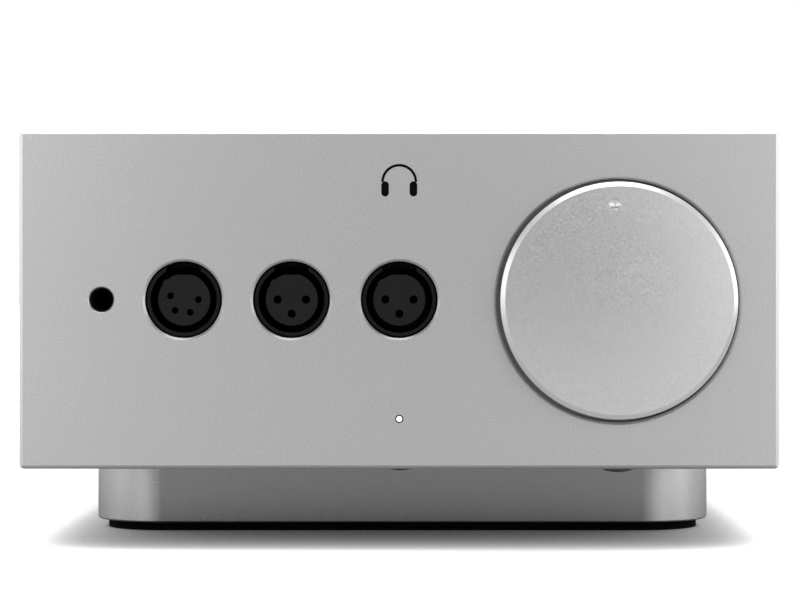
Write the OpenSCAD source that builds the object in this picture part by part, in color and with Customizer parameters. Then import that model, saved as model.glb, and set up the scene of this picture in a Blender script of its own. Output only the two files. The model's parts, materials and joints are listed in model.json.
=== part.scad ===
// Half-width headphone amplifier, in millimetres.
// +Z is up and the front panel faces -Y. The origin is under the middle of the whole amplifier, on the
// surface it stands on.

/* [Front panel] */
// Width of the front panel, the widest part of the amplifier
panel_w = 220; // [216:1:240]
// Height of the front panel
panel_h = 98; // [96:1:106]
// Thickness of the front panel
panel_t = 8; // [8:0.5:10]
// Width of the bevel round the panel's front edge
panel_bevel = 1.1; // [0.5:0.1:1.4]
// Radius of the corners of the panel and the casing
panel_corner = 1.5; // [1.2:0.1:2]
// Height of the panel's lower edge above the table
panel_low = 23.5; // [23:0.5:26]

/* [Casing] */
// Length from the front of the knob to the ends of the rear sockets
overall_l = 356; // [350:1:380]
// How far the casing's sides stand in from the panel's sides
casing_inset = 1; // [0.5:0.1:2]
// Thickness of the cover's sheet
cover_t = 2.5; // [2:0.1:3]
// Thickness of the bottom plate, which the sockets' boards stand on
bottom_t = 3; // [3:0.1:4]

/* [Plinth] */
// Width of the plinth under the casing
plinth_w = 195.5; // [190:0.5:200]
// Depth of the plinth from front to back
plinth_l = 219; // [200:1:230]
// Distance from the panel's face back to the plinth's front
plinth_setback = 58; // [50:1:60]
// Radius of the plinth's corners in plan
plinth_corner = 22; // [18:1:30]
// Thickness of the rubber pad
pad_t = 2.8; // [2:0.1:3]
// Distance of the pad's edge in from the plinth's side
pad_inset = 3.4; // [3.2:0.1:6]

/* [Volume knob] */
// Distance of the knob's axis to the right of the middle
knob_x = 63.2; // [60:0.2:66]
// Distance of the knob's axis below the row of front sockets
knob_drop = 0.3; // [0:0.1:1]
// Diameter of the knob
knob_d = 68.2; // [60:0.2:70]
// How far the knob's face stands out from the panel
knob_proud = 7.5; // [7:0.5:10]
// Width of the bevel round the knob's face
knob_bevel = 1.3; // [0.5:0.1:1.5]
// How far the knob's slightly domed face rises from its edge to its middle
knob_crown = 0.9; // [0.4:0.1:1.5]
// Gap round the knob in its round recess
knob_gap = 1; // [0.5:0.1:1.2]
// Depth of the recess the knob sits in
recess_depth = 5; // [4:0.1:5]
// Width of the bevel round the recess's mouth
recess_bevel = 0.8; // [0.3:0.1:1]
// Distance of the pointer dimple from the knob's axis
dimple_r = 27.7; // [20:0.1:29]
// Angle of the pointer dimple at rest, anticlockwise from straight up
dimple_turn = 2.8; // [0:0.1:10]

/* [Front sockets] */
// Distance of the 6.35 mm jack to the left of the middle
jack_x = 86.1; // [84:0.1:88]
// Diameter of the jack's hole in the panel
jack_hole_d = 7.2; // [7.1:0.05:7.5]
// Spacing of the three XLR sockets
xlr_pitch = 31.2; // [30:0.1:31.4]
// Diameter of each XLR socket's hole in the panel
xlr_hole_d = 22.3; // [21.8:0.1:23]
// Inside diameter of an XLR socket's metal shell
xlr_bore_d = 19.2; // [19:0.1:19.4]
// Diameter of an XLR socket's dark insert
xlr_insert_d = 15.1; // [14.8:0.1:15.3]
// Radius of the circle of contacts
contact_circle_r = 4.1; // [4:0.05:4.2]

/* [Light and buttons] */
// Height of the standby light above the table
led_z = 38; // [37.8:0.1:40]
// Diameter of the two buttons under the front edge
button_d = 12; // [10:0.5:12]
// Distance of the buttons' axes behind the panel's face
button_setback = 18; // [17.5:0.5:18.5]
// Distance of the right-hand button from the middle
mode_button_x = 64.5; // [60:0.5:66]
// Height of the lowest point of the left-hand button
power_button_low = 21.9; // [21.5:0.05:22]
// Height of the lowest point of the right-hand button
mode_button_low = 21.35; // [21.2:0.05:22]
// Travel of a button
button_travel = 1.3; // [0.5:0.1:1.4]

/* [Rear] */
// Length of a phono socket's barrel behind the rear panel
rca_reach = 12; // [10:0.5:14]
// Height of the row of input sockets
input_z = 96; // [92:1:98]
// Distance of the mains inlet from the middle
inlet_x = 70; // [60:1:74]
// Height of the middle of the mains inlet
inlet_z = 72; // [70:1:76]

/* [Hidden] */
$fn = 64;
eps = 0.01;

// Levels along Y: the knob's face, the panel's face and the rear panel's outer face
knob_face_y = -overall_l / 2;
face_y = knob_face_y + knob_proud;
rear_y = overall_l / 2 - rca_reach;
panel_back_y = face_y + panel_t;
casing_l = rear_y - panel_back_y;

// Levels along Z
socket_z = panel_low + panel_h / 2;
casing_low = panel_low + casing_inset;
casing_high = panel_low + panel_h - casing_inset;
floor_z = casing_low + bottom_t;
ceiling_z = casing_high - cover_t;
board_z = floor_z + 7.5;
board_t = 1.6;
board_top = board_z + board_t;

// Sheet metal
casing_w = panel_w - 2 * casing_inset;
inner_w = casing_w - 2 * cover_t;
fit_gap = 0.2;
bulkhead_t = 2;
bulkhead_back_y = panel_back_y + bulkhead_t;
rear_t = 3;
tab_t = 2;
tab_w = 16;
tab_l = 12;
front_tab_x = [-75, 32, 92];
rear_tab_x = [-70, 62];
lip_w = 10;
lip_t = 2.5;

// Screws: clearance holes, shanks and the middles of their rows
shank_r = 1.45;
shank_hole_r = 1.6;
head_r = 2.75;
head_h = 2;
panel_screw_x = [-98, 20, 98];
panel_screw_z = [33, 112];
cover_screw_x = inner_w / 2 - lip_w / 2;
cover_screw_y = [for (i = [0:3]) panel_back_y + 30 + i * (casing_l - 60) / 3];
front_tab_y = bulkhead_back_y + tab_l / 2;
rear_tab_y = rear_y - rear_t - tab_l / 2;
plinth_mid_y = face_y + plinth_setback + plinth_l / 2;
plinth_screw_spread = [plinth_w / 2 - 16, plinth_l / 2 - 16];

// XLR sockets
xlr_x = [-2 * xlr_pitch, -xlr_pitch, 0];
xlr_ring_r = xlr_bore_d / 2 + 1;
xlr_flange = [26, 31];
xlr_flange_t = 2.5;
xlr_flange_screw = [9.5, 12];
xlr_depth = 20;
three_contacts = [for (a = [0, -90, 180]) a];
four_contacts = [for (i = [0:3]) -i * 65];
input_xlr_x = [-88, -56];
rca_x = [-28, -8];

// Buttons
button_y = face_y + button_setback;
dome_r = 12.4;
button_flange_r = 7.3;
button_flange_t = 1.2;
flange_low = floor_z + 0.05;
button_x = [0, mode_button_x];
button_board_x = [-14, mode_button_x + 14];
button_standoff_x = [-11, 11, mode_button_x - 11, mode_button_x + 11];
button_standoff_y = button_y + 3;

// Boards and what stands on them
main_board_x = 94;
main_board_y = [-112, 58];
main_standoff_x = [-90, 90];
main_standoff_y = [-106, -27, 52];
heatsink_x = 62;
heatsink_y = [-78, 46];
heatsink_h = 62;
transformer_x = -34;
transformer_y = 106;
transformer_r = 42;
transformer_low = floor_z + 2;
transformer_h = 38;

// A cylinder along local Z, from one level to another
module rod(r, low, high) {
    translate([0, 0, low]) cylinder(r = r, h = high - low);
}

// A cylinder with a bore right through it
module tube(r_out, r_in, low, high) {
    difference() {
        rod(r_out, low, high);
        rod(r_in, low - 1, high + 1);
    }
}

// A box between two corners
module block(low, high) {
    translate(low) cube(high - low);
}

// A box round the local Z axis
module bar(w, h, low, high) {
    translate([-w / 2, -h / 2, low]) cube([w, h, high - low]);
}

// A flat rectangle with round corners
module rounded_rect(w, h, r) {
    square([w - 2 * r, h], center = true);
    square([w, h - 2 * r], center = true);
    for (x = [-1, 1], y = [-1, 1]) translate([x * (w / 2 - r), y * (h / 2 - r)]) circle(r = r);
}

// A plate with round corners
module rounded_plate(w, h, r, low, high) {
    translate([0, 0, low]) linear_extrude(height = high - low) rounded_rect(w, h, r);
}

// Local Z points out of the front panel's face, local X to the right and local Y up
module on_front(x, z) {
    translate([x, face_y, z]) rotate([90, 0, 0]) children();
}

// Local Z points out of the rear panel's face, local X to the left and local Y up
module on_rear(x, z) {
    translate([x, rear_y, z]) rotate([90, 0, 180]) children();
}

// A screw with a socket in its round head, which rests on local Z = 0
module cap_screw(length) {
    difference() {
        union() {
            rod(head_r, 0, head_h);
            rod(shank_r, -length, 0);
        }
        translate([0, 0, 1]) cylinder(r = 1.3, h = 2, $fn = 6);
    }
}

// A flat-headed screw whose head is flush with local Z = 0
module flat_screw(length) {
    sink = head_r - shank_r;
    difference() {
        union() {
            translate([0, 0, -sink]) cylinder(r1 = shank_r, r2 = head_r, h = sink);
            rod(shank_r, -length, -sink);
        }
        translate([0, 0, -0.9]) cylinder(r = 1.15, h = 2, $fn = 6);
    }
}

// The hole for a flat-headed screw, through a sheet whose face is local Z = 0
module flat_screw_hole(sheet_t) {
    sink = head_r - shank_r;
    rod(shank_hole_r, -sheet_t - 1, 1);
    translate([0, 0, -sink]) cylinder(r1 = shank_hole_r, r2 = head_r + 0.15, h = sink);
    rod(head_r + 0.15, -eps, 1);
}

// A hole with a bevelled mouth at local Z = 0
module bevelled_hole(r, mouth_r, depth) {
    rod(r, -depth, 1);
    translate([0, 0, r - mouth_r]) cylinder(r1 = r, r2 = mouth_r, h = mouth_r - r);
    rod(mouth_r, -eps, 1);
}

// Points from below, for what is fastened through the bottom plate
module from_below(x, y) {
    translate([x, y, casing_low]) rotate([180, 0, 0]) children();
}

// ---- Casing ----

// A prism that bevels one edge of the panel's face
module edge_bevel(half, length) {
    far = 2 * panel_bevel;
    rotate([90, 0, 90]) linear_extrude(height = length, center = true)
        polygon([[half - far, panel_bevel], [half + panel_bevel, panel_bevel], [half + panel_bevel, -far]]);
}

module panel_bevels() {
    for (turn = [0, 180]) rotate([0, 0, turn]) edge_bevel(panel_h / 2, panel_w + 4);
    for (turn = [90, 270]) rotate([0, 0, turn]) edge_bevel(panel_w / 2, panel_h + 4);
}

module front_panel() {
    screw_depth = 5.5;
    color("silver") difference() {
        on_front(0, socket_z) difference() {
            rounded_plate(panel_w, panel_h, panel_corner, -panel_t, 0);
            panel_bevels();
        }
        for (x = xlr_x) on_front(x, socket_z) bevelled_hole(xlr_hole_d / 2, xlr_hole_d / 2 + 0.65, panel_t + 1);
        on_front(-jack_x, socket_z) bevelled_hole(jack_hole_d / 2, jack_hole_d / 2 + 0.3, panel_t + 1);
        at_knob() {
            bevelled_hole(recess_r, recess_r + recess_bevel, recess_depth);
            rod(9, -panel_t - 1, 0);
        }
        on_front(0, led_z) rod(1.2, -panel_t - 1, 1);
        for (x = panel_screw_x, z = panel_screw_z)
            on_front(x, z) rod(shank_r + 0.05, -panel_t - 1, screw_depth - panel_t);
    }
}

// Screw tabs bent inwards from the lower edge of an upright plate
module tabs(places, y_low) {
    for (x = places) difference() {
        block([x - tab_w / 2, y_low, floor_z], [x + tab_w / 2, y_low + tab_l, floor_z + tab_t]);
        translate([x, y_low + tab_l / 2, 0]) rod(shank_r + 0.05, floor_z - 1, floor_z + tab_t + 1);
    }
}

module front_bulkhead() {
    plate_h = ceiling_z - fit_gap - floor_z;
    color("gainsboro") {
        difference() {
            on_front(0, floor_z + plate_h / 2)
                bar(inner_w - 2 * fit_gap, plate_h, -panel_t - bulkhead_t, -panel_t);
            for (x = xlr_x) on_front(x, socket_z) {
                rod(xlr_ring_r + 0.7, -20, 0);
                for (side = [-1, 1])
                    translate([side * xlr_flange_screw[0], side * xlr_flange_screw[1], 0]) rod(shank_r + 0.05, -20, 0);
            }
            on_front(-jack_x, socket_z) rod(5.6, -20, 0);
            at_knob() rod(4.9, -20, 0);
            on_front(0, led_z) rod(1.2, -20, 0);
            for (x = panel_screw_x, z = panel_screw_z) on_front(x, z) rod(shank_hole_r, -20, 0);
        }
        tabs(front_tab_x, bulkhead_back_y);
    }
}

// A row of vent slots through the cover's roof, over one heatsink
module vents(side) {
    slot_l = 26;
    slot_r = 1.25;
    for (i = [0:17]) translate([side * (heatsink_x + 15), heatsink_y[0] + 2 + i * 7, ceiling_z - 1])
        linear_extrude(height = cover_t + 2) {
            square([slot_l, 2 * slot_r], center = true);
            for (end = [-1, 1]) translate([end * slot_l / 2, 0]) circle(r = slot_r, $fn = 24);
        }
}

module top_cover() {
    cover_h = casing_high - casing_low;
    color("silver") {
        difference() {
            translate([0, panel_back_y + casing_l, casing_low + cover_h / 2]) rotate([90, 0, 0])
                linear_extrude(height = casing_l) difference() {
                    union() {
                        rounded_rect(casing_w, cover_h, panel_corner);
                        translate([-casing_w / 2, -cover_h / 2]) square([casing_w, cover_h / 2]);
                    }
                    translate([-inner_w / 2, -cover_h / 2 - 1]) square([inner_w, cover_h - cover_t + 1]);
                }
            vents(1);
            vents(-1);
        }
        for (side = [-1, 1]) difference() {
            translate([side * (cover_screw_x + 0.05), 0, 0])
                block([-lip_w / 2, panel_back_y + 16, floor_z],
                      [lip_w / 2, rear_y - rear_t - tab_l - 2, floor_z + lip_t]);
            for (y = cover_screw_y) translate([side * cover_screw_x, y, 0])
                rod(shank_r + 0.05, floor_z - 1, floor_z + lip_t + 1);
        }
    }
}

module bottom_plate() {
    half_w = inner_w / 2 - fit_gap;
    color("gainsboro") difference() {
        block([-half_w, panel_back_y, casing_low], [half_w, rear_y, floor_z]);
        for (x = button_x) translate([x, button_y, 0]) rod(button_d / 2 + 0.2, casing_low - 1, floor_z + 1);
        for (side = [-1, 1], y = cover_screw_y) from_below(side * cover_screw_x, y) flat_screw_hole(bottom_t);
        for (x = front_tab_x) from_below(x, front_tab_y) flat_screw_hole(bottom_t);
        for (x = rear_tab_x) from_below(x, rear_tab_y) flat_screw_hole(bottom_t);
        at_plinth_screws() rod(2.05, casing_low - 1, floor_z + 1);
        for (x = main_standoff_x, y = main_standoff_y) translate([x, y, 0]) rod(shank_r + 0.05, casing_low - 1, 40);
        for (x = button_standoff_x) translate([x, button_standoff_y, 0]) rod(shank_r + 0.05, casing_low - 1, 40);
        translate([transformer_x, transformer_y, 0]) rod(3.05, casing_low - 1, floor_z + 1);
    }
}

module rear_panel() {
    plate_h = ceiling_z - fit_gap - floor_z;
    color("silver") {
        difference() {
            on_rear(0, floor_z + plate_h / 2) bar(inner_w - 2 * fit_gap, plate_h, -rear_t, 0);
            for (x = input_xlr_x) on_rear(x, input_z) {
                rod(xlr_bore_d / 2 + 2.4, -10, 1);
                for (side = [-1, 1])
                    translate([side * xlr_flange_screw[0], side * xlr_flange_screw[1], 0]) rod(shank_r + 0.05, -10, 1);
            }
            for (x = rca_x) on_rear(x, input_z) rod(4.3, -10, 1);
            on_rear(inlet_x, inlet_z) bar(27.4, 64.4, -10, 1);
        }
        tabs(rear_tab_x, rear_y - rear_t - tab_l);
    }
}

// ---- Plinth ----

module at_plinth_screws() {
    for (x = [-1, 1], y = [-1, 1])
        translate([x * plinth_screw_spread[0], plinth_mid_y + y * plinth_screw_spread[1], 0]) children();
}

// The plinth's outer shape, with a small bevel round its lower edge
module plinth_block() {
    bevel = 0.4;
    half_w = plinth_w / 2;
    half_l = plinth_l / 2;
    r = plinth_corner;
    for (x = [-1, 1], y = [-1, 1]) translate([x * (half_w - r), y * (half_l - r), 0])
        cylinder(r1 = r - bevel, r2 = r, h = bevel);
    rotate([90, 0, 0]) linear_extrude(height = plinth_l - 2 * r, center = true)
        polygon([[-half_w + bevel, 0], [half_w - bevel, 0], [half_w, bevel], [-half_w, bevel]]);
    rotate([90, 0, 90]) linear_extrude(height = plinth_w - 2 * r, center = true)
        polygon([[-half_l + bevel, 0], [half_l - bevel, 0], [half_l, bevel], [-half_l, bevel]]);
    translate([0, 0, bevel]) rounded_plate(plinth_w, plinth_l, r, 0, casing_low - pad_t - bevel);
}

module plinth() {
    wall = 7;
    plinth_floor = 6;
    color("silver") difference() {
        union() {
            difference() {
                translate([0, plinth_mid_y, pad_t]) plinth_block();
                translate([0, plinth_mid_y, 0])
                    rounded_plate(plinth_w - 2 * wall, plinth_l - 2 * wall, plinth_corner - wall,
                                  pad_t + plinth_floor, casing_low + 1);
            }
            at_plinth_screws() rod(7, pad_t + 1, casing_low);
        }
        at_plinth_screws() {
            rod(2.2, 0, casing_low + 1);
            rod(4, 0, pad_t + 4);
        }
    }
}

module foot_pad() {
    color("black") translate([0, plinth_mid_y, 0])
        rounded_plate(plinth_w - 2 * pad_inset, plinth_l - 2 * pad_inset, plinth_corner - pad_inset, 0, pad_t);
}

// ---- Volume control ----

shaft_r = 3;
grub_z = 2.5;

module at_knob() {
    on_front(knob_x, socket_z - knob_drop) children();
}

recess_r = knob_d / 2 + knob_gap;

// Radius of the knob's domed face, and its level at a distance from the axis
crown_r = (pow(knob_d / 2, 2) + pow(knob_crown, 2)) / (2 * knob_crown);
function crown_z(r) = knob_proud - crown_r + sqrt(pow(crown_r, 2) - pow(r, 2));

// Half of the knob's section, seen from its axis
module knob_section(low) {
    flat_r = knob_d / 2 - knob_bevel;
    edge_z = crown_z(flat_r);
    polygon([[0, low], [knob_d / 2, low], [knob_d / 2, edge_z - knob_bevel], [flat_r, edge_z], [0, edge_z]]);
    intersection() {
        translate([0, low]) square([flat_r, knob_proud - low + 1]);
        translate([0, knob_proud - crown_r]) circle(r = crown_r, $fn = 1440);
    }
}

module volume_knob() {
    back = -recess_depth + 0.6;
    hub_r = 9.5;
    rim_t = 6;
    dimple_depth = 0.9;
    dimple_d = 3.5;
    bowl_r = (pow(dimple_d / 2, 2) + pow(dimple_depth, 2)) / (2 * dimple_depth);
    color("silver") at_knob() rotate([0, 0, dimple_turn]) difference() {
        rotate_extrude($fn = 128) knob_section(back);
        rod(shaft_r + 0.02, back - 1, knob_proud - 2.5);
        difference() {
            rod(knob_d / 2 - rim_t, back - 1, grub_z - 3);
            rod(hub_r, back - 2, grub_z);
        }
        translate([0, 0, grub_z]) rotate([90, 0, 0]) rod(2, 0, knob_d);
        translate([0, dimple_r, crown_z(dimple_r) + bowl_r - dimple_depth]) sphere(r = bowl_r);
    }
}

module knob_grub_screw() {
    color("dimgray") at_knob() rotate([0, 0, dimple_turn]) translate([0, 0, grub_z]) rotate([90, 0, 0])
        difference() {
            rod(1.95, shaft_r + 0.05, shaft_r + 6);
            translate([0, 0, shaft_r + 4]) cylinder(r = 1.1, h = 3, $fn = 6);
        }
}

module pot_shaft() {
    color("gainsboro") at_knob() rod(shaft_r, -panel_t - bulkhead_t - 30, knob_proud - 2.8);
}

module pot_body() {
    half = 14;
    front = -panel_t - bulkhead_t;
    color("dimgray") at_knob() difference() {
        union() {
            rounded_plate(2 * half, 2 * half, 3, front - 36, front);
            rod(4.75, front - 1, -panel_t + 2.6);
            for (i = [0:3], x = [-5, 0, 5]) translate([x, -half - 3, front - 6 - i * 8]) bar(1.2, 7, -0.4, 0.4);
        }
        rod(shaft_r + 0.05, front - 31, 0);
    }
}

module pot_nut() {
    color("silver") at_knob() difference() {
        translate([0, 0, -panel_t]) cylinder(r = 8, h = 2.2, $fn = 6);
        rod(4.8, -panel_t - 1, 0);
    }
}

// ---- XLR sockets ----
// Each is drawn round the local Z axis, with the mounting face of its flange at a given level

// The hollow stretch of each contact, and how far it starts behind the insert's face
grip_l = 7;
grip_setback = 5;
// The web at the shell's rear end, which holds the insert
web_t = 3;

// The metal shell: a ring in front of a flange, and a barrel behind it whose rear web holds the insert
module xlr_shell(front, flange_low_z) {
    bore_r = xlr_bore_d / 2;
    back = flange_low_z - xlr_depth + 1;
    latch_gap_w = 10;
    latch_gap_l = 13;
    difference() {
        union() {
            rod(xlr_ring_r, flange_low_z, front);
            rounded_plate(xlr_flange[0], xlr_flange[1], 3, flange_low_z, flange_low_z + xlr_flange_t);
            rod(bore_r + 2.2, back, flange_low_z + 1);
        }
        rod(bore_r, back + web_t, front + 1);
        rod(xlr_insert_d / 2 + 0.05, back - 1, front);
        translate([0, bore_r, 0]) bar(latch_gap_w, 5, front - latch_gap_l, front + 1);
        for (side = [-1, 1])
            translate([side * xlr_flange_screw[0], side * xlr_flange_screw[1], 0])
                rod(shank_hole_r, flange_low_z - 1, flange_low_z + xlr_flange_t + 1);
    }
}

// A dark barrel with a key along its side and a hole for each contact
module xlr_insert(front, back, angles, hole_r) {
    notch_w = 3.2;
    notch_depth = 0.35;
    key_turn = 137;
    difference() {
        union() {
            rod(xlr_insert_d / 2, back, front);
            rotate([0, 0, key_turn]) translate([xlr_insert_d / 2, 0, 0]) bar(0.8, 1.6, back + web_t + 0.5, front);
        }
        translate([0, xlr_insert_d / 2, 0]) bar(notch_w, 2 * notch_depth, back + web_t + 0.5, front + 1);
        for (a = angles) rotate([0, 0, a]) translate([contact_circle_r, 0, 0]) {
            rod(hole_r, back - 1, front + 1);
            rod(hole_r + 0.4, back - 1, front - grip_setback + 0.2);
        }
    }
}

module xlr_contacts(front, back, angles, hole_r) {
    grip_front = front - grip_setback;
    for (a = angles) rotate([0, 0, a]) translate([contact_circle_r, 0, 0]) {
        tube(hole_r + 0.35, hole_r, grip_front - grip_l, grip_front);
        rod(hole_r + 0.35, grip_front - grip_l - 3, grip_front - grip_l);
        rod(0.6, back - 6, grip_front - grip_l - 2);
    }
}

front_shell_tip = -0.9;
front_flange_z = -panel_t - bulkhead_t - xlr_flange_t;
front_insert_tip = -2.4;
front_insert_back = front_flange_z - xlr_depth + 1;
three_hole_r = 1.2;
four_hole_r = 1;

module front_xlr_shell(x) {
    color("#303030") on_front(x, socket_z) xlr_shell(front_shell_tip, front_flange_z);
}

module front_xlr_insert(x, angles, hole_r) {
    color("#1c1c1e") on_front(x, socket_z) xlr_insert(front_insert_tip, front_insert_back, angles, hole_r);
}

module front_xlr_contacts(x, angles, hole_r) {
    color("goldenrod") on_front(x, socket_z)
        xlr_contacts(front_insert_tip, front_insert_back, angles, hole_r);
}

module input_xlr_shells() {
    color("silver") for (x = input_xlr_x) on_rear(x, input_z) xlr_shell(xlr_flange_t, 0);
}

module input_xlr_inserts() {
    color("#1c1c1e") for (x = input_xlr_x) on_rear(x, input_z)
        xlr_insert(0.5, 1 - xlr_depth, three_contacts, three_hole_r);
}

module input_xlr_contacts() {
    color("goldenrod") for (x = input_xlr_x) on_rear(x, input_z)
        xlr_contacts(0.5, 1 - xlr_depth, three_contacts, three_hole_r);
}

// ---- Jack ----

jack_nose_r = 3.5;
jack_bore_r = 3.25;
jack_collar_r = 5.2;
jack_block_w = 10.4;
jack_front = -0.6;
jack_back = -panel_t - bulkhead_t - 6.2;
leaf_z = [-24, -34];

// A black nose that lines the panel's hole, on a square block behind the bulkhead
module jack_sleeve() {
    color("#202020") on_front(-jack_x, socket_z) difference() {
        union() {
            rod(jack_nose_r, jack_back, jack_front);
            rod(jack_collar_r, jack_back, -panel_t - 0.2);
            bar(jack_block_w, jack_block_w, jack_back, -panel_t - bulkhead_t - 0.1);
        }
        rod(jack_bore_r, jack_back - 1, 1);
    }
}

module jack_housing() {
    back = -44;
    channel_w = 7.4;
    color("#222222") on_front(-jack_x, socket_z) difference() {
        bar(16, 18, back, -panel_t - bulkhead_t);
        bar(jack_block_w + 0.1, jack_block_w + 0.1, jack_back, 0);
        bar(channel_w, channel_w, back + 2, 0);
        translate([0, 6.5, 0]) bar(5.4, 8, leaf_z[1] - 3, leaf_z[0] + 3);
    }
}

module jack_contacts() {
    color("goldenrod") on_front(-jack_x, socket_z) for (z = leaf_z) translate([0, 0, z]) {
        translate([0, 4.1, 0]) bar(5, 0.8, -2.6, 2.6);
        translate([0, 7.5, 2.2]) bar(5, 7.6, -0.4, 0.4);
    }
}

module socket_board() {
    board_y = face_y - front_insert_back + 4;
    half_h = 20;
    color("darkgreen") difference() {
        block([xlr_x[0] - 14, board_y, socket_z - half_h], [14, board_y + board_t, socket_z + half_h]);
        for (i = [0:2], a = i == 0 ? four_contacts : three_contacts)
            on_front(xlr_x[i], socket_z) rotate([0, 0, a]) translate([contact_circle_r, 0, 0]) rod(0.7, -50, 0);
    }
}

// ---- Standby light ----

module led_lens() {
    color("white") on_front(0, led_z) {
        rod(0.95, -panel_t - bulkhead_t - 1, -0.15);
        rod(2.2, -panel_t - bulkhead_t - 2.5, -panel_t - bulkhead_t - 0.05);
    }
}

module status_led() {
    back = -panel_t - bulkhead_t - 2.6;
    lead_end = back - 6;
    lead_r = 0.25;
    color("white") on_front(0, led_z) {
        rod(1.35, back - 4, back);
        for (x = [-0.8, 0.8]) translate([x, 0, 0]) {
            rod(lead_r, lead_end, back - 3);
            translate([0, 0, lead_end]) rotate([90, 0, 0]) rod(lead_r, -lead_r, led_z - board_top);
        }
    }
}

// ---- Buttons ----

// A cap with a domed end below the casing, a shoulder inside it and a push rod above the shoulder
module button(x, low) {
    rod_r = 1.6;
    rod_l = 4;
    flange_high = flange_low + button_flange_t;
    color("gainsboro") translate([x, button_y, 0]) {
        intersection() {
            rod(button_d / 2, low, flange_low + 0.1);
            translate([0, 0, low + dome_r]) {
                sphere(r = dome_r, $fn = 96);
                rod(dome_r, 0, 20);
            }
        }
        rod(button_flange_r, flange_low, flange_high);
        rod(rod_r, flange_high - 0.1, flange_high + rod_l);
    }
}

// A helical wire of square turns' pitch, closed at both ends
module coil_spring(low, high) {
    turns = 4;
    steps = 20;
    sides = 8;
    wire_r = 0.25;
    mean_r = 4.9;
    n = turns * steps;
    rise = high - low - 2 * wire_r;
    points = [for (i = [0:n], k = [0:sides - 1])
        let (a = 360 * i / steps, b = 360 * k / sides, r = mean_r + wire_r * cos(b))
        [r * cos(a), r * sin(a), low + wire_r + rise * i / n + wire_r * sin(b)]];
    skin = [for (i = [0:n - 1], k = [0:sides - 1])
        let (next = (k + 1) % sides)
        [i * sides + k, i * sides + next, (i + 1) * sides + next, (i + 1) * sides + k]];
    ends = [[for (k = [sides - 1:-1:0]) k], [for (k = [0:sides - 1]) n * sides + k]];
    polyhedron(points = points, faces = concat(skin, ends), convexity = 10);
}

module button_spring(x) {
    color("silver") translate([x, button_y, 0]) coil_spring(flange_low + button_flange_t, board_z);
}

module button_switches() {
    color("#303030") for (x = button_x) translate([x, button_y, 0]) difference() {
        bar(6, 6, board_z - 3.6, board_z);
        rod(1.75, board_z - 5, board_z - 0.4);
    }
}

module button_board() {
    color("darkgreen") difference() {
        block([button_board_x[0], button_y - 5.5, board_z], [button_board_x[1], button_y + 7, board_top]);
        for (x = button_standoff_x) translate([x, button_standoff_y, 0]) rod(shank_hole_r, 0, 60);
    }
}

// ---- Amplifier and power supply ----

module main_board() {
    color("darkgreen") difference() {
        block([-main_board_x, main_board_y[0], board_z], [main_board_x, main_board_y[1], board_top]);
        for (x = main_standoff_x, y = main_standoff_y) translate([x, y, 0]) rod(shank_hole_r, 0, 60);
    }
}

// A six-sided spacer with a stud below and a threaded hole above
module standoff() {
    difference() {
        union() {
            translate([0, 0, floor_z]) cylinder(r = 2.9, h = board_z - floor_z, $fn = 6);
            rod(shank_r, casing_low + 0.5, floor_z + 1);
        }
        rod(shank_r + 0.05, board_z - 4.5, board_z + 1);
    }
}

module board_standoffs() {
    color("goldenrod") {
        for (x = main_standoff_x, y = main_standoff_y) translate([x, y, 0]) standoff();
        for (x = button_standoff_x) translate([x, button_standoff_y, 0]) standoff();
    }
}

// A comb of upright fins on a flat back
module heatsinks() {
    back_t = 4;
    fin_t = 1.6;
    fin_l = 20;
    fins = 16;
    length = heatsink_y[1] - heatsink_y[0];
    color("#404040") for (side = [0, 1]) mirror([side, 0, 0])
        translate([heatsink_x, heatsink_y[0], board_top]) linear_extrude(height = heatsink_h) {
            square([back_t, length]);
            for (i = [0:fins - 1]) translate([0, i * (length - fin_t) / (fins - 1)]) square([back_t + fin_l, fin_t]);
        }
}

module output_transistors() {
    color("#202020") for (side = [-1, 1], i = [0:3])
        translate([side * (heatsink_x - 2.5), heatsink_y[0] + 20 + i * 28, 0]) {
            bar(5, 15.6, board_top + 20, board_top + 40);
            for (lead = [-1, 0, 1]) translate([0, lead * 5.4, 0]) bar(0.8, 1.2, board_top, board_top + 21);
        }
}

module filter_capacitors() {
    color("midnightblue") for (x = [-1, 1], row = [0:2])
        translate([x * 13, 44 - row * 26, 0]) rod(11, board_top, board_top + 40);
}

module relays() {
    color("orange") for (i = [0:3]) translate([-36 + i * 24, -96, 0]) bar(20, 11, board_top, board_top + 12);
}

module at_transformer() {
    translate([transformer_x, transformer_y, 0]) children();
}

// A round-edged ring
module transformer() {
    hole_r = 13;
    edge = 7;
    mid_r = (hole_r + transformer_r) / 2;
    color("peru") at_transformer() rotate_extrude($fn = 96)
        translate([mid_r, transformer_low + transformer_h / 2])
            rounded_rect(transformer_r - hole_r, transformer_h, edge);
}

module transformer_mat() {
    color("black") at_transformer() tube(transformer_r - 4, 6, floor_z, transformer_low);
}

module transformer_clamp() {
    top = transformer_low + transformer_h;
    color("silver") at_transformer() tube(30, 3.1, top, top + 1.5);
}

module transformer_bolt() {
    top = transformer_low + transformer_h + 1.5;
    color("silver") at_transformer() {
        rod(3, casing_low + 0.5, top + 1);
        translate([0, 0, top]) cylinder(r = 5.8, h = 4, $fn = 6);
    }
}

// ---- Rear ----

module rca_shells() {
    color("goldenrod") for (x = rca_x) on_rear(x, input_z) difference() {
        union() {
            rod(4.15, -10, rca_reach);
            rod(6.5, 0, 2);
            translate([0, 0, -rear_t - 2]) cylinder(r = 6.3, h = 2, $fn = 6);
        }
        rod(3.2, -11, rca_reach + 1);
    }
}

rca_hole_r = 1.65;

module rca_insulators() {
    color("white") for (x = rca_x) on_rear(x, input_z) difference() {
        rod(3.15, -10, rca_reach - 0.6);
        rod(2.2, -11, rca_reach - 1.6);
        rod(rca_hole_r, -11, rca_reach + 1);
    }
}

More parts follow.
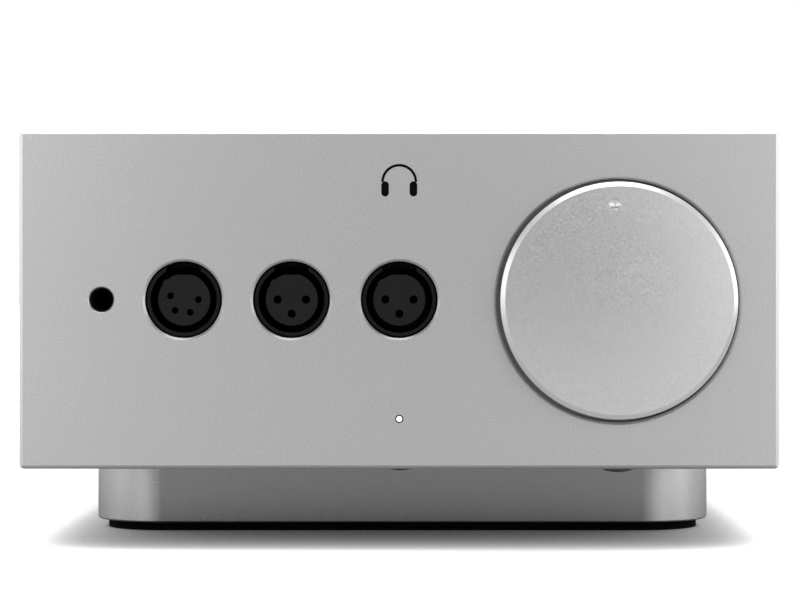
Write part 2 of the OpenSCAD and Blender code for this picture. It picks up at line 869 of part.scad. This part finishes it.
module rca_contacts() {
    color("goldenrod") for (x = rca_x) on_rear(x, input_z) {
        tube(2.15, rca_hole_r, -8, rca_reach - 1.7);
        rod(2.15, -12, -8);
    }
}

// The mains inlet: a frame that holds the inlet cavity below, the fuse drawer and the switch above
inlet_w = 27;
inlet_h = 64;
inlet_flange_t = 2.5;
cavity_y = -19;
cavity_w = 24.5;
cavity_h = 17;
cavity_depth = 17;
drawer_y = -2.5;
drawer_w = 22;
drawer_h = 9.4;
rocker_y = 18;
rocker_w = 14;
rocker_half_l = 9.2;
pivot_z = -4;

module at_inlet() {
    on_rear(inlet_x, inlet_z) children();
}

// The six-sided outline of the inlet cavity
module cavity_outline() {
    cut = 4.5;
    polygon([[-cavity_w / 2, -cavity_h / 2], [cavity_w / 2, -cavity_h / 2],
             [cavity_w / 2, cavity_h / 2 - cut], [cavity_w / 2 - cut, cavity_h / 2],
             [cut - cavity_w / 2, cavity_h / 2], [-cavity_w / 2, cavity_h / 2 - cut]]);
}

module inlet_housing() {
    pin_r = 1;
    color("#202020") at_inlet() difference() {
        union() {
            bar(inlet_w, inlet_h, -30, 0);
            rounded_plate(inlet_w + 5, inlet_h + 5, 3, 0, inlet_flange_t);
        }
        translate([0, cavity_y, inlet_flange_t - cavity_depth]) linear_extrude(height = 30) cavity_outline();
        translate([0, drawer_y, 0]) bar(drawer_w + 0.6, drawer_h + 0.6, -24, 10);
        translate([0, drawer_y, 0]) bar(drawer_w + 2.6, drawer_h + 1.6, inlet_flange_t - 1.4, 10);
        translate([0, rocker_y, 0]) bar(rocker_w + 0.8, 22, -14, 10);
        translate([0, rocker_y, pivot_z]) rotate([0, 90, 0]) rod(pin_r + 0.06, -rocker_w / 2 - 2, rocker_w / 2 + 2);
        for (x = [-7, 0, 7]) translate([x, cavity_y + (x == 0 ? 3.5 : -1), 0]) bar(2, 4, -40, 0);
    }
}

module inlet_blades() {
    color("gainsboro") at_inlet() for (x = [-7, 0, 7])
        translate([x, cavity_y + (x == 0 ? 3.5 : -1), 0]) bar(2, 4, -36, x == 0 ? 1 : 0);
}

// A rocker whose face is a shallow V, with a pin at each side
module mains_rocker() {
    pin_r = 1;
    tilt = 10;
    lift = 7.2;
    dip = 1.6;
    color("#303030") at_inlet() translate([0, rocker_y, pivot_z]) rotate([tilt, 0, 0]) {
        rotate([90, 0, 90]) linear_extrude(height = rocker_w, center = true) {
            polygon([[-rocker_half_l, lift], [0, lift - dip], [rocker_half_l, lift], [rocker_half_l, lift - 3],
                     [3, -2.4], [-3, -2.4], [-rocker_half_l, lift - 3]]);
        }
        rotate([0, 90, 0]) rod(pin_r, -rocker_w / 2 - 1.8, rocker_w / 2 + 1.8);
    }
}

module fuse_drawer() {
    lid_t = 1.3;
    color("#303030") at_inlet() translate([0, drawer_y, 0]) difference() {
        union() {
            bar(drawer_w + 2, drawer_h + 1, inlet_flange_t - 1.3, inlet_flange_t);
            bar(drawer_w, drawer_h, -22, inlet_flange_t - lid_t + 0.1);
        }
        translate([0, 2, 0]) bar(20.6, drawer_h, -21, -15.2);
        translate([0, drawer_h / 2 + 0.6, 0]) bar(8, 1.4, inlet_flange_t - 0.6, 10);
    }
}

module fuse() {
    r = 2.5;
    color("silver") at_inlet() translate([0, drawer_y - drawer_h / 2 + 2 + r + 0.1, -18.1])
        rotate([0, 90, 0]) rod(r, -10, 10);
}

// ---- Fasteners ----

module panel_screws() {
    color("silver") for (x = panel_screw_x, z = panel_screw_z)
        on_front(x, z) translate([0, 0, -panel_t - bulkhead_t]) rotate([180, 0, 0]) cap_screw(6.5);
}

module base_screws() {
    color("silver") {
        for (x = front_tab_x) from_below(x, front_tab_y) flat_screw(bottom_t + tab_t);
        for (x = rear_tab_x) from_below(x, rear_tab_y) flat_screw(bottom_t + tab_t);
    }
}

module cover_screws() {
    color("silver") for (side = [-1, 1], y = cover_screw_y)
        from_below(side * cover_screw_x, y) flat_screw(bottom_t + lip_t);
}

module plinth_screws() {
    color("silver") at_plinth_screws() difference() {
        union() {
            rod(3.6, pad_t + 1.2, pad_t + 4);
            rod(1.95, pad_t + 3.9, floor_z);
        }
        translate([0, 0, pad_t]) cylinder(r = 1.7, h = 3, $fn = 6);
    }
}

module socket_screws() {
    color("silver") {
        for (x = xlr_x, side = [-1, 1]) on_front(x, socket_z)
            translate([side * xlr_flange_screw[0], side * xlr_flange_screw[1], front_flange_z])
                rotate([180, 0, 0]) cap_screw(xlr_flange_t + bulkhead_t);
        for (x = input_xlr_x, side = [-1, 1]) on_rear(x, input_z)
            translate([side * xlr_flange_screw[0], side * xlr_flange_screw[1], xlr_flange_t])
                cap_screw(xlr_flange_t + rear_t);
    }
}

module board_screws() {
    color("silver") {
        for (x = main_standoff_x, y = main_standoff_y) translate([x, y, board_top]) cap_screw(5);
        for (x = button_standoff_x) translate([x, button_standoff_y, board_top]) cap_screw(5);
    }
}

front_panel();
front_bulkhead();
top_cover();
bottom_plate();
rear_panel();
plinth();
foot_pad();
volume_knob();
knob_grub_screw();
pot_shaft();
pot_body();
pot_nut();
front_xlr_shell(xlr_x[0]);  // xlr4_shell
front_xlr_insert(xlr_x[0], four_contacts, four_hole_r);  // xlr4_insert
front_xlr_contacts(xlr_x[0], four_contacts, four_hole_r);  // xlr4_contacts
front_xlr_shell(xlr_x[1]);  // xlr_left_shell
front_xlr_insert(xlr_x[1], three_contacts, three_hole_r);  // xlr_left_insert
front_xlr_contacts(xlr_x[1], three_contacts, three_hole_r);  // xlr_left_contacts
front_xlr_shell(xlr_x[2]);  // xlr_right_shell
front_xlr_insert(xlr_x[2], three_contacts, three_hole_r);  // xlr_right_insert
front_xlr_contacts(xlr_x[2], three_contacts, three_hole_r);  // xlr_right_contacts
jack_sleeve();
jack_housing();
jack_contacts();
socket_board();
led_lens();
status_led();
button(button_x[0], power_button_low);  // power_button
button_spring(button_x[0]);  // power_button_spring
button(button_x[1], mode_button_low);  // mode_button
button_spring(button_x[1]);  // mode_button_spring
button_switches();
button_board();
main_board();
board_standoffs();
heatsinks();
output_transistors();
filter_capacitors();
relays();
transformer();
transformer_mat();
transformer_clamp();
transformer_bolt();
input_xlr_shells();
input_xlr_inserts();
input_xlr_contacts();
rca_shells();
rca_insulators();
rca_contacts();
inlet_housing();
inlet_blades();
mains_rocker();
fuse_drawer();
fuse();
panel_screws();
base_screws();
cover_screws();
plinth_screws();
socket_screws();
board_screws();
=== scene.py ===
import json
import math

import bmesh
import bpy
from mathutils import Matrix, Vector

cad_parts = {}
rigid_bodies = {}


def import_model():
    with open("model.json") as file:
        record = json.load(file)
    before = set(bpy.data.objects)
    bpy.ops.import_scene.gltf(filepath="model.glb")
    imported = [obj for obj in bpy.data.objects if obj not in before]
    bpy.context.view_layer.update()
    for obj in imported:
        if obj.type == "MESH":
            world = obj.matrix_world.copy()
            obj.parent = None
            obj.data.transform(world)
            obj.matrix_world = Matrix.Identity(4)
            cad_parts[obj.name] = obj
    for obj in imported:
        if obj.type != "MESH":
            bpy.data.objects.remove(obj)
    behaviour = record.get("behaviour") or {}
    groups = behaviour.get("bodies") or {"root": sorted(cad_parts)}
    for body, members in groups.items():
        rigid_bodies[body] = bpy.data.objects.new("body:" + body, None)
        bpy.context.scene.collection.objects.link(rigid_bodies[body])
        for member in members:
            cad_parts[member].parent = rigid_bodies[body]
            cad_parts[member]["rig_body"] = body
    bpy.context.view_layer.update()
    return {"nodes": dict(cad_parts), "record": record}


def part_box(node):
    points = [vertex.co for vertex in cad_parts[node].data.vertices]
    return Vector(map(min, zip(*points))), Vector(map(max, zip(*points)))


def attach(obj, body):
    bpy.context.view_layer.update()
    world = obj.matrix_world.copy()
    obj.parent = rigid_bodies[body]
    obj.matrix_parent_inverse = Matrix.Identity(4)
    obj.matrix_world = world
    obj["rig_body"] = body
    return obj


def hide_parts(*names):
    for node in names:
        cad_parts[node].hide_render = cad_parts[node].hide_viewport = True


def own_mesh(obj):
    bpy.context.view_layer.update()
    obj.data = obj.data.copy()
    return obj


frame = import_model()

MM = 0.001
nodes = frame["nodes"]
scene = bpy.context.scene

# ---- Places worked out from the frame ----

PANEL_LOW, PANEL_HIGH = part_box("front_panel")
KNOB_LOW, KNOB_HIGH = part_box("volume_knob")
FACE_Y = PANEL_LOW.y
MID_Z = (PANEL_LOW.z + PANEL_HIGH.z) / 2


# ---- Materials ----

class Shader:
    """A node material whose textures follow the object's own coordinates, in metres."""

    def __init__(self, name):
        self.mat = bpy.data.materials.new(name)
        self.mat.use_nodes = True
        self.tree = self.mat.node_tree
        self.bsdf = self.tree.nodes["Principled BSDF"]
        self.coords = self.node("ShaderNodeTexCoord").outputs["Object"]
        self.normal = None

    def node(self, kind, **settings):
        made = self.tree.nodes.new(kind)
        for key, value in settings.items():
            setattr(made, key, value)
        return made

    def link(self, out, socket):
        self.tree.links.new(out, socket)

    def set(self, **values):
        for key, value in values.items():
            self.bsdf.inputs[key.replace("_", " ")].default_value = value

    def stretched(self, stretch):
        """Coordinates scaled by a different amount along each axis."""
        mapping = self.node("ShaderNodeMapping")
        mapping.inputs["Scale"].default_value = stretch
        self.link(self.coords, mapping.inputs["Vector"])
        return mapping.outputs["Vector"]

    def noise(self, size, detail=2.0, rough=0.5, stretch=None):
        """Noise whose features are about this many metres across."""
        tex = self.node("ShaderNodeTexNoise")
        tex.inputs["Scale"].default_value = 1.0 / size
        tex.inputs["Detail"].default_value = detail
        tex.inputs["Roughness"].default_value = rough
        self.link(self.stretched(stretch) if stretch else self.coords, tex.inputs["Vector"])
        return tex.outputs["Fac"]

    def cells(self, size, stretch=None):
        tex = self.node("ShaderNodeTexVoronoi")
        tex.inputs["Scale"].default_value = 1.0 / size
        self.link(self.stretched(stretch) if stretch else self.coords, tex.inputs["Vector"])
        return tex.outputs["Distance"]

    def span(self, fac, low, high, start=0.0, end=1.0):
        """Maps start..end to low..high."""
        made = self.node("ShaderNodeMapRange")
        self.link(fac, made.inputs["Value"])
        for key, value in (("From Min", start), ("From Max", end), ("To Min", low), ("To Max", high)):
            made.inputs[key].default_value = value
        return made.outputs["Result"]

    def math(self, operation, a, b):
        made = self.node("ShaderNodeMath", operation=operation)
        for socket, value in zip(made.inputs, (a, b)):
            if isinstance(value, (int, float)):
                socket.default_value = value
            else:
                self.link(value, socket)
        return made.outputs["Value"]

    def mix(self, fac, a, b):
        made = self.node("ShaderNodeMix", data_type="RGBA")
        self.link(fac, made.inputs["Factor"])
        for socket, value in ((made.inputs["A"], a), (made.inputs["B"], b)):
            if isinstance(value, tuple):
                socket.default_value = (*value, 1.0)
            else:
                self.link(value, socket)
        return made.outputs["Result"]

    def openness(self, reach):
        """0 deep in a gap and 1 in the open, with nothing standing within this many metres; the metals use it to
        paint shade into gaps.
        """
        made = self.node("ShaderNodeAmbientOcclusion", samples=8)
        made.inputs["Distance"].default_value = reach
        return made.outputs["AO"]

    def color(self, socket):
        self.link(socket, self.bsdf.inputs["Base Color"])

    def roughness(self, socket):
        self.link(socket, self.bsdf.inputs["Roughness"])

    def round_edges(self, radius):
        """Softens the edges in the shading."""
        made = self.node("ShaderNodeBevel", samples=4)
        made.inputs["Radius"].default_value = radius
        self.normal = made.outputs["Normal"]
        self.link(self.normal, self.bsdf.inputs["Normal"])

    def bump(self, height, depth, strength=1.0):
        """Height of 0 to 1, as deep as this many metres; a later bump lies on an earlier one."""
        made = self.node("ShaderNodeBump")
        made.inputs["Distance"].default_value = depth
        made.inputs["Strength"].default_value = strength
        self.link(height, made.inputs["Height"])
        if self.normal:
            self.link(self.normal, made.inputs["Normal"])
        self.normal = made.outputs["Normal"]
        self.link(self.normal, self.bsdf.inputs["Normal"])


def tint(color, amount):
    return tuple(min(1.0, c * amount) for c in color)


def blasted_aluminium(name, color, rough, grain=0.00055, speckle=0.11, relief=0.3):
    """Bead-blasted and anodised: fine grain, faint mottling, softened edges, and painted shade that darkens narrow
    gaps and recesses.
    """
    s = Shader(name)
    s.set(Metallic=1.0)
    s.round_edges(0.00012)
    fine = s.noise(grain, rough=0.6)
    broad = s.noise(0.035)
    cloud = s.noise(0.0025)
    grainy = s.mix(s.span(fine, 0, 1, 0.3, 0.7), tint(color, 1 - speckle), tint(color, 1 + speckle))
    clouded = s.mix(s.span(cloud, 0.0, 0.35, 0.35, 0.65), grainy, tint(color, 0.968))
    mottled = s.mix(s.span(broad, 0.0, 0.3, 0.35, 0.65), clouded, tint(color, 0.975))
    # Painted shade: the colour goes nearly black where other surfaces stand within 2 mm, as in the gap round the
    # knob.
    s.color(s.mix(s.span(s.openness(0.002), 0.0, 1.0, 0.05, 0.6), tint(color, 0.03), mottled))
    s.roughness(s.span(fine, rough - 0.04, rough + 0.04, 0.25, 0.75))
    s.bump(fine, 0.00003, relief)
    return s.mat


def turned_metal(name, color, rough, size=0.0004):
    """Plated or turned metal with faint marks."""
    s = Shader(name)
    s.set(Metallic=1.0)
    s.round_edges(0.0001)
    marks = s.noise(size, detail=4.0, stretch=(1, 6, 1))
    s.color(s.mix(marks, tint(color, 0.88), color))
    s.roughness(s.span(marks, rough - 0.06, rough + 0.1, 0.3, 0.7))
    s.bump(marks, 0.00002, 0.3)
    return s.mat


def moulded_plastic(name, color, rough, gloss=0.5):
    """Moulded plastic with a spark-eroded grain."""
    s = Shader(name)
    s.set(Metallic=0.0, Specular_IOR_Level=gloss)
    s.round_edges(0.00015)
    fine = s.noise(0.0003)
    broad = s.noise(0.012)
    s.color(s.mix(broad, tint(color, 0.85), tint(color, 1.15)))
    s.roughness(s.span(fine, rough - 0.07, rough + 0.07, 0.3, 0.7))
    s.bump(fine, 0.00003, 0.5)
    return s.mat


def painted_metal(name, color, rough):
    """Blackened die-cast metal under a thin lacquer, with a faint orange peel and painted shade that darkens its
    gaps.
    """
    s = Shader(name)
    s.set(Metallic=1.0, Coat_Weight=0.08, Coat_Roughness=0.1)
    s.round_edges(0.0001)
    peel = s.noise(0.0012)
    uneven = s.mix(peel, tint(color, 0.85), tint(color, 1.15))
    # Painted shade: the colour goes nearly black where other surfaces stand within 6 mm, as in the latch gap.
    s.color(s.mix(s.span(s.openness(0.006), 0.0, 1.0, 0.2, 0.9), tint(color, 0.05), uneven))
    s.roughness(s.span(peel, rough - 0.05, rough + 0.05))
    s.bump(peel, 0.00002, 0.4)
    return s.mat


def rubber(name, color):
    s = Shader(name)
    s.set(Metallic=0.0, Specular_IOR_Level=0.05)
    fine = s.noise(0.0006, detail=4.0, rough=0.7)
    s.color(s.mix(fine, tint(color, 0.7), tint(color, 1.4)))
    s.roughness(s.span(fine, 0.75, 0.95))
    s.bump(fine, 0.00006, 0.6)
    return s.mat


def circuit_board(name):
    """Green solder resist over a grid of tracks."""
    s = Shader(name)
    tracks = s.cells(0.004, stretch=(1, 0.35, 1))
    line = s.span(tracks, 0, 1, 0.42, 0.5)
    s.color(s.mix(line, (0.012, 0.11, 0.04), (0.03, 0.2, 0.08)))
    s.roughness(s.span(s.noise(0.003), 0.22, 0.4))
    s.bump(line, 0.00004, 0.5)
    return s.mat


TURNS = 220.0       # of wire round the transformer's ring


def windings(name):
    """Copper wire wound round the ring: radial lines."""
    s = Shader(name)
    s.set(Metallic=0.7)
    low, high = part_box("transformer")
    centre = (low + high) / 2
    moved = s.node("ShaderNodeMapping")
    moved.inputs["Location"].default_value = (-centre.x, -centre.y, -centre.z)
    s.link(s.coords, moved.inputs["Vector"])
    parts = s.node("ShaderNodeSeparateXYZ")
    s.link(moved.outputs["Vector"], parts.inputs["Vector"])
    angle = s.math("ARCTAN2", parts.outputs["Y"], parts.outputs["X"])
    wire = s.span(s.math("SINE", s.math("MULTIPLY", angle, TURNS), 0.0), 0.0, 1.0, -1.0, 1.0)
    s.color(s.mix(wire, (0.2, 0.08, 0.03), (0.55, 0.26, 0.1)))
    s.roughness(s.span(wire, 0.45, 0.3))
    s.bump(wire, 0.0003, 0.8)
    return s.mat


LENS_RIM = (0.72 * MM, 0.84 * MM)       # from the lens's axis: where its rim starts and where it is darkest


def light_pipe(name):
    """A lit white lens with an unlit rim."""
    s = Shader(name)
    low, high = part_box("led_lens")
    centre = (low + high) / 2
    offset = s.node("ShaderNodeVectorMath", operation="MULTIPLY_ADD")
    s.link(s.coords, offset.inputs[0])
    offset.inputs[1].default_value = (1, 0, 1)
    offset.inputs[2].default_value = (-centre.x, 0, -centre.z)
    length = s.node("ShaderNodeVectorMath", operation="LENGTH")
    s.link(offset.outputs["Vector"], length.inputs[0])
    rim = s.span(length.outputs["Value"], 0.0, 1.0, *LENS_RIM)
    fine = s.noise(0.0008)
    s.color(s.mix(rim, s.mix(fine, (0.9, 0.9, 0.9), (1.0, 1.0, 1.0)), (0.05, 0.05, 0.05)))
    s.roughness(s.span(fine, 0.25, 0.4))
    s.bump(fine, 0.00002, 0.3)
    s.set(Emission_Strength=1.6)
    s.link(s.mix(rim, (1.0, 1.0, 1.0), (0.0, 0.0, 0.0)), s.bsdf.inputs["Emission Color"])
    return s.mat


def fuse_glass(name):
    s = Shader(name)
    s.set(Metallic=0.0, Transmission_Weight=0.9)
    streaks = s.noise(0.001, stretch=(1, 4, 4))
    s.color(s.mix(streaks, (0.85, 0.87, 0.87), (0.95, 0.95, 0.95)))
    s.roughness(s.span(streaks, 0.03, 0.1))
    s.bump(streaks, 0.00002, 0.2)
    return s.mat


SILVER = (0.625, 0.625, 0.63)      # the anodised aluminium
MATERIALS = {
    "panel_aluminium": blasted_aluminium("panel_aluminium", SILVER, 0.42),
    "knob_aluminium": blasted_aluminium("knob_aluminium", tint(SILVER, 1.22), 0.36, speckle=0.08),
    "casing_aluminium": blasted_aluminium("casing_aluminium", SILVER, 0.42),
    "plinth_aluminium": blasted_aluminium("plinth_aluminium", tint(SILVER, 0.95), 0.30, speckle=0.03, relief=0.05),
    "button_aluminium": blasted_aluminium("button_aluminium", SILVER, 0.28, speckle=0.06),
    "inner_sheet": blasted_aluminium("inner_sheet", tint(SILVER, 0.9), 0.45, grain=0.0008),
    "black_rubber": rubber("black_rubber", (0.003, 0.003, 0.003)),
    "socket_shell": painted_metal("socket_shell", (0.022, 0.022, 0.023), 0.35),
    "socket_insert": moulded_plastic("socket_insert", (0.008, 0.008, 0.008), 0.5, gloss=0.2),
    "gold_contact": turned_metal("gold_contact", (0.83, 0.6, 0.25), 0.25),
    # Near-black copy of the gold contact: painted shade, so the deep contact holes inside the sockets read dark.
    "socket_contact": turned_metal("socket_contact", (0.05, 0.038, 0.022), 0.6),
    "gold_shell": turned_metal("gold_shell", (0.83, 0.6, 0.28), 0.2),
    "plated_steel": turned_metal("plated_steel", (0.62, 0.62, 0.63), 0.22),
    "shaft_steel": turned_metal("shaft_steel", (0.5, 0.5, 0.5), 0.35),
    "screw_steel": turned_metal("screw_steel", (0.42, 0.42, 0.43), 0.35),
    "spring_steel": turned_metal("spring_steel", (0.55, 0.55, 0.55), 0.2),
    "standoff_brass": turned_metal("standoff_brass", (0.7, 0.5, 0.22), 0.3),
    "moulded_black": moulded_plastic("moulded_black", (0.02, 0.02, 0.021), 0.45),
    "pot_case": turned_metal("pot_case", (0.3, 0.3, 0.31), 0.45),
    "insulator_white": moulded_plastic("insulator_white", (0.75, 0.75, 0.72), 0.35),
    "light_pipe": light_pipe("light_pipe"),
    "circuit_board": circuit_board("circuit_board"),
    "winding_copper": windings("winding_copper"),
    "capacitor_sleeve": moulded_plastic("capacitor_sleeve", (0.02, 0.03, 0.13), 0.25),
    "relay_case": moulded_plastic("relay_case", (0.55, 0.2, 0.04), 0.3),
    "fuse_glass": fuse_glass("fuse_glass"),
}

SLOT_OF = {part["node"]: part["material_slot"] for part in frame["record"]["subparts"]}


def dress(obj, slot):
    obj.data.materials.clear()
    obj.data.materials.append(MATERIALS[slot])


for name, obj in nodes.items():
    dress(obj, SLOT_OF[name])


# ---- Stand-ins that keep the shape of their CAD node ----

def stand_in(node):
    """A copy of a CAD node, on its body and with its finish, which is shown in the node's place."""
    piece = nodes[node].copy()
    piece.data = nodes[node].data.copy()
    piece.name = node + "_shown"
    scene.collection.objects.link(piece)
    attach(piece, nodes[node]["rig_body"])
    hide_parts(node)
    return piece


def even_dome(piece, low, high):
    """Merges away the sliver of no area at the middle of the knob's dome, which spoils the shading there."""
    mesh = piece.data
    centre = (low + high) / 2

    def in_middle(co):
        place = piece.matrix_world @ co
        return math.hypot(place.x - centre.x, place.z - centre.z) < 0.1 * MM and place.y < low.y + 1 * MM

    bm = bmesh.new()
    bm.from_mesh(mesh)
    bmesh.ops.remove_doubles(bm, verts=[v for v in bm.verts if in_middle(v.co)], dist=0.01 * MM)
    bm.to_mesh(mesh)
    bm.free()
    middle = {v.index for v in mesh.vertices if in_middle(v.co)}
    mesh.normals_split_custom_set([(0, -1, 0) if loop.vertex_index in middle else corner.vector.copy()
                                   for loop, corner in zip(mesh.loops, mesh.corner_normals)])


even_dome(stand_in("volume_knob"), KNOB_LOW, KNOB_HIGH)
# Each button's spring is shown by a stand-in copy with a mesh of its own
for node, joint in (("power_button_spring", "power_press"), ("mode_button_spring", "mode_press")):
    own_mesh(stand_in(node))


# ---- Headphone pictogram, printed in the middle of the panel's top ----

def printed_mesh(name, outline, thickness):
    """A thin printed shape on the panel's face, from an outline of (x, z) points."""
    bm = bmesh.new()
    ring = [bm.verts.new((x, FACE_Y, z)) for x, z in outline]
    face = bm.faces.new(ring)
    out = bmesh.ops.extrude_face_region(bm, geom=[face])
    moved = [v for v in out["geom"] if isinstance(v, bmesh.types.BMVert)]
    bmesh.ops.translate(bm, verts=moved, vec=(0, -thickness, 0))
    bmesh.ops.recalc_face_normals(bm, faces=bm.faces)
    mesh = bpy.data.meshes.new(name)
    bm.to_mesh(mesh)
    bm.free()
    obj = bpy.data.objects.new(name, mesh)
    scene.collection.objects.link(obj)
    return obj


def arc_band(centre, r_out, r_in, start, end, steps=48):
    """Outline of a curved band, as (x, z) points."""
    def at(r, a):
        return (centre[0] + r * math.cos(a), centre[1] + r * math.sin(a))
    angles = [math.radians(start + (end - start) * i / steps) for i in range(steps + 1)]
    return [at(r_out, a) for a in angles] + [at(r_in, a) for a in reversed(angles)]


def pill(centre, width, height, steps=12):
    """Outline of an upright shape with round ends, as (x, z) points."""
    r = width / 2
    points = []
    for side, start in ((1, 0), (-1, 180)):
        for i in range(steps + 1):
            a = math.radians(start + 180 * i / steps)
            points.append((centre[0] + r * math.cos(a), centre[1] + side * (height / 2 - r) + r * math.sin(a)))
    return points


ICON_Z = PANEL_HIGH.z - 15 * MM
ICON_R = 5.2 * MM
INK = 0.02 * MM
icon_shapes = {"icon_headband": arc_band((0, ICON_Z), ICON_R, ICON_R - 0.75 * MM, 0, 180)}
for side, label in ((-1, "left"), (1, "right")):
    icon_shapes[f"icon_cup_{label}"] = pill((side * (ICON_R - 1.1 * MM), ICON_Z - 2.0 * MM), 2.2 * MM, 4.4 * MM)
for label, outline in icon_shapes.items():
    piece = printed_mesh(label, outline, INK)
    dress(piece, "black_rubber")
    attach(piece, "root")


# ---- Floor, light and camera ----

def soft_box(name, place, target, size, radiance):
    """A soft light as bright as a surface of this radiance, out of the camera's sight."""
    data = bpy.data.lights.new(name, "AREA")
    data.shape = "RECTANGLE"
    data.size, data.size_y = size
    data.energy = 4 * size[0] * size[1] * radiance
    light = bpy.data.objects.new(name, data)
    scene.collection.objects.link(light)
    light.location = place
    light.rotation_euler = (Vector(target) - Vector(place)).to_track_quat("-Z", "Y").to_euler()
    light.visible_camera = False


def make_floor():
    """A white light table: it glows, with a painted shadow that darkens it where something stands close over it.
    """
    bpy.ops.mesh.primitive_plane_add(size=60, location=(0, 0, 0))
    floor = bpy.context.object
    floor.name = "floor"
    s = Shader("floor")
    open_sky = s.node("ShaderNodeAmbientOcclusion", samples=16)
    open_sky.inputs["Distance"].default_value = 0.3
    path = s.node("ShaderNodeLightPath")
    seen = s.math("ADD", s.math("MULTIPLY", open_sky.outputs["AO"], FLOOR_SEEN),
                  s.span(open_sky.outputs["AO"], 0.0, FLOOR_EDGE, *SHADOW_EDGE))
    lit = s.math("MULTIPLY", open_sky.outputs["AO"], FLOOR_GLOW)
    to_camera = path.outputs["Is Camera Ray"]
    strength = s.math("ADD", s.math("MULTIPLY", seen, to_camera),
                      s.math("MULTIPLY", lit, s.math("SUBTRACT", 1.0, to_camera)))
    s.set(Specular_IOR_Level=0.0, Base_Color=(0.02, 0.02, 0.02, 1), Roughness=1.0, Emission_Color=(1, 1, 1, 1))
    s.link(strength, s.bsdf.inputs["Emission Strength"])
    floor.data.materials.append(s.mat)


def make_world():
    """White to the camera; as a light it is dim in front, so the metal has something dark to reflect."""
    world = bpy.data.worlds.new("studio")
    world.use_nodes = True
    scene.world = world
    tree = world.node_tree
    made = {}
    for key, kind in (("seen", "Background"), ("path", "LightPath"), ("mix", "MixShader"),
                      ("coords", "TexCoord"), ("parts", "SeparateXYZ"), ("span", "MapRange")):
        made[key] = tree.nodes.new("ShaderNode" + kind)
    light = tree.nodes["Background"]
    light.inputs["Color"].default_value = (1, 1, 1, 1)
    made["seen"].inputs["Color"].default_value = (1, 1, 1, 1)
    made["seen"].inputs["Strength"].default_value = WORLD_SEEN
    for key, value in (("From Min", LIGHT_STARTS), ("From Max", LIGHT_FULL),
                       ("To Min", FRONT_LIGHT), ("To Max", BACK_LIGHT)):
        made["span"].inputs[key].default_value = value
    link = tree.links.new
    link(made["coords"].outputs["Generated"], made["parts"].inputs["Vector"])
    link(made["parts"].outputs["Y"], made["span"].inputs["Value"])
    link(made["span"].outputs["Result"], light.inputs["Strength"])
    link(made["path"].outputs["Is Camera Ray"], made["mix"].inputs["Fac"])
    link(light.outputs["Background"], made["mix"].inputs[1])
    link(made["seen"].outputs["Background"], made["mix"].inputs[2])
    link(made["mix"].outputs["Shader"], tree.nodes["World Output"].inputs["Surface"])


FLOOR_SEEN = 1.4        # to the camera, times how open the place is, which paints the shadow
FLOOR_EDGE = 0.4        # more than that beyond the edge of the painted shadow
SHADOW_EDGE = (0.40, 0.56)      # how open a place is where the painted shadow ends
FLOOR_GLOW = 0.39       # as a light, darkened by the same painted shadow
WORLD_SEEN = 1.05       # to the camera
FRONT_LIGHT = 0.05      # as a light, in front of the panel
BACK_LIGHT = 1.3        # as a light, at the sides, above and behind
LIGHT_STARTS = -0.25    # the direction's Y where the world starts to brighten
LIGHT_FULL = 0.05       # and where it is as bright as it gets
# Each soft box: its place, what it faces, its width and height, and its radiance
SOFT_BOXES = {
    "top_box": ((0, -0.15, 1.3), (0, -0.15, 0), (0.9, 0.9), 2.0),
    "front_box": ((0, -1.15, 0.62), (0, FACE_Y, 0.05), (1.6, 0.5), 0.74),
    "left_box": ((-0.62, -1.0, 0.3), (0, FACE_Y, 0.05), (0.6, 0.6), 1.5),
    "right_box": ((0.62, -1.0, 0.3), (0, FACE_Y, 0.05), (0.6, 0.6), 1.47),
    "left_wing": ((-1.05, -0.45, 0.3), (0, FACE_Y, 0.05), (0.7, 0.6), 0.95),
    "right_wing": ((1.05, -0.45, 0.3), (0, FACE_Y, 0.05), (0.7, 0.6), 1.15),
    "left_wall": ((-1.2, 0.4, 0.3), (0, 0, 0.05), (1.2, 0.6), 0.3),
    "right_wall": ((1.2, 0.4, 0.3), (0, 0, 0.05), (1.2, 0.6), 0.4),
    "left_low": ((-0.6, -0.42, 0.07), (0, FACE_Y, 0.02), (0.5, 0.12), 0.4),
    "right_low": ((0.6, -0.42, 0.07), (0, FACE_Y, 0.02), (0.5, 0.12), 0.8),
    "low_tray": ((0, -0.41, 0.0225), (0, -0.41, 1), (0.9, 0.48), 0.25),
}
make_floor()
make_world()
for label, (place, target, size, radiance) in SOFT_BOXES.items():
    soft_box(label, place, target, size, radiance)

CAMERA_DISTANCE = 0.700
VIEW_WIDTH = 0.2312     # across the picture, at the panel's face
CAMERA_X = 9.3 * MM
VIEW_CENTRE_X = 0.22 * MM
CAMERA_DROP = 0.12 * MM
camera_data = bpy.data.cameras.new("camera")
camera_data.sensor_width = 36
camera_data.lens = camera_data.sensor_width * CAMERA_DISTANCE / VIEW_WIDTH
camera_data.clip_start = 0.01
camera = bpy.data.objects.new("camera", camera_data)
scene.collection.objects.link(camera)
camera.location = (CAMERA_X, FACE_Y - CAMERA_DISTANCE, MID_Z - CAMERA_DROP)
camera_data.shift_x = (VIEW_CENTRE_X - CAMERA_X) / VIEW_WIDTH
camera.rotation_euler = (math.radians(90), 0, 0)
scene.camera = camera
scene.view_settings.view_transform = "Standard"
